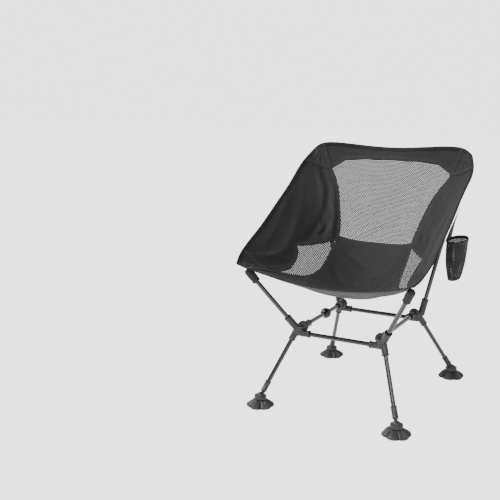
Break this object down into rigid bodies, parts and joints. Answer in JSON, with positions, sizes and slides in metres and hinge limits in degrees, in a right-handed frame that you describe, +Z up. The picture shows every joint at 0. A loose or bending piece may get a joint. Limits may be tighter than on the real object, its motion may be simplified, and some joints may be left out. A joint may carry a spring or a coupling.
{
  "type": "folding backpacking chair",
  "caption": "Low camping chair: a bucket sling seat with a see-through mesh back, held at its corners by a shock-corded frame of thin tubes on ball-footed legs.",
  "frame": {"origin": "centre of the chair's footprint, on the ground under its pads", "axes": "+Z up, -Y the way the chair faces, +X the side that the net pocket hangs on (the right-hand side as seen from in front; names with left and right are as seen from in front)"},
  "size_m": [0.55, 0.563, 0.6888],
  "materials": {
    "anodised_tube": "black anodised, glossy",
    "hub_plastic": "dark grey moulded nylon, fine texture",
    "ball_plastic": "black, satin",
    "pad_rubber": "dark grey moulded rubber",
    "shock_cord": "black braided cord",
    "seat_cloth": "charcoal ripstop polyester",
    "mesh_cloth": "grey see-through polyester mesh",
    "binding_tape": "black grosgrain tape",
    "pocket_net": "dark open net"
  },
  "bodies": {
    "frame_and_sling": {"front_bar": "anodised_tube", "rear_bar": "anodised_tube", "side_bar_right": "anodised_tube", "side_bar_left_front": "anodised_tube", "side_bar_left_rear": "anodised_tube", "joint_ball": "ball_plastic", "hub_front_left": "hub_plastic", "arm_front_left": "anodised_tube", "arm_cap_front_left": "hub_plastic", "shock_cord_front_left": "shock_cord", "corner_pocket_front_left": "seat_cloth", "hub_front_right": "hub_plastic", "arm_front_right": "anodised_tube", "arm_cap_front_right": "hub_plastic", "shock_cord_front_right": "shock_cord", "corner_pocket_front_right": "seat_cloth", "hub_rear_left": "hub_plastic", "arm_rear_left": "anodised_tube", "arm_cap_rear_left": "hub_plastic", "shock_cord_rear_left": "shock_cord", "corner_pocket_rear_left": "seat_cloth", "hub_rear_right": "hub_plastic", "arm_rear_right": "anodised_tube", "arm_cap_rear_right": "hub_plastic", "shock_cord_rear_right": "shock_cord", "corner_pocket_rear_right": "seat_cloth", "seat_panel": "seat_cloth", "back_mesh": "mesh_cloth", "top_band": "seat_cloth", "side_panel_left": "seat_cloth", "side_vent_left": "mesh_cloth", "side_binding_left": "binding_tape", "side_panel_right": "seat_cloth", "side_vent_right": "mesh_cloth", "side_binding_right": "binding_tape", "front_binding": "binding_tape", "top_binding": "binding_tape", "waist_piping": "binding_tape", "side_pocket_net": "pocket_net", "side_pocket_rim": "binding_tape", "side_pocket_hanger": "seat_cloth"},
    "leg_front_left": {"leg_front_left": "anodised_tube", "foot_socket_front_left": "hub_plastic"},
    "foot_front_left": {"foot_pad_front_left": "pad_rubber", "foot_collar_front_left": "hub_plastic"},
    "leg_front_right": {"leg_front_right": "anodised_tube", "foot_socket_front_right": "hub_plastic"},
    "foot_front_right": {"foot_pad_front_right": "pad_rubber", "foot_collar_front_right": "hub_plastic"},
    "leg_rear_left": {"leg_rear_left": "anodised_tube", "foot_socket_rear_left": "hub_plastic"},
    "foot_rear_left": {"foot_pad_rear_left": "pad_rubber", "foot_collar_rear_left": "hub_plastic"},
    "leg_rear_right": {"leg_rear_right": "anodised_tube", "foot_socket_rear_right": "hub_plastic"},
    "foot_rear_right": {"foot_pad_rear_right": "pad_rubber", "foot_collar_rear_right": "hub_plastic"}
  },
  "joints": [
    {"name": "leg_front_left_pull", "type": "slide", "parent": "frame_and_sling", "child": "leg_front_left", "axis": [-0.3355, -0.3812, -0.8615], "range_m": [0, 0.045], "stiffness_N_per_m": 120, "springref_m": -0.03},
    {"name": "foot_front_left_tilt", "type": "hinge", "parent": "leg_front_left", "child": "foot_front_left", "pos_m": [-0.20843, -0.23204, 0.026], "axis": [0.7507, -0.6606, 0], "range_deg": [-8, 8]},
    {"name": "leg_front_right_pull", "type": "slide", "parent": "frame_and_sling", "child": "leg_front_right", "axis": [0.3355, -0.3812, -0.8615], "range_m": [0, 0.045], "stiffness_N_per_m": 120, "springref_m": -0.03},
    {"name": "foot_front_right_tilt", "type": "hinge", "parent": "leg_front_right", "child": "foot_front_right", "pos_m": [0.17757, -0.23204, 0.026], "axis": [0.7507, 0.6606, 0], "range_deg": [-8, 8]},
    {"name": "leg_rear_left_pull", "type": "slide", "parent": "frame_and_sling", "child": "leg_rear_left", "axis": [-0.3224, 0.4923, -0.8085], "range_m": [0, 0.045], "stiffness_N_per_m": 120, "springref_m": -0.03},
    {"name": "foot_rear_left_tilt", "type": "hinge", "parent": "leg_rear_left", "child": "foot_rear_left", "pos_m": [-0.20943, 0.24396, 0.026], "axis": [-0.8365, -0.548, 0], "range_deg": [-8, 8]},
    {"name": "leg_rear_right_pull", "type": "slide", "parent": "frame_and_sling", "child": "leg_rear_right", "axis": [0.3224, 0.4923, -0.8085], "range_m": [0, 0.045], "stiffness_N_per_m": 120, "springref_m": -0.03},
    {"name": "foot_rear_right_tilt", "type": "hinge", "parent": "leg_rear_right", "child": "foot_rear_right", "pos_m": [0.17857, 0.24396, 0.026], "axis": [-0.8365, 0.548, 0], "range_deg": [-8, 8]}
  ]
}
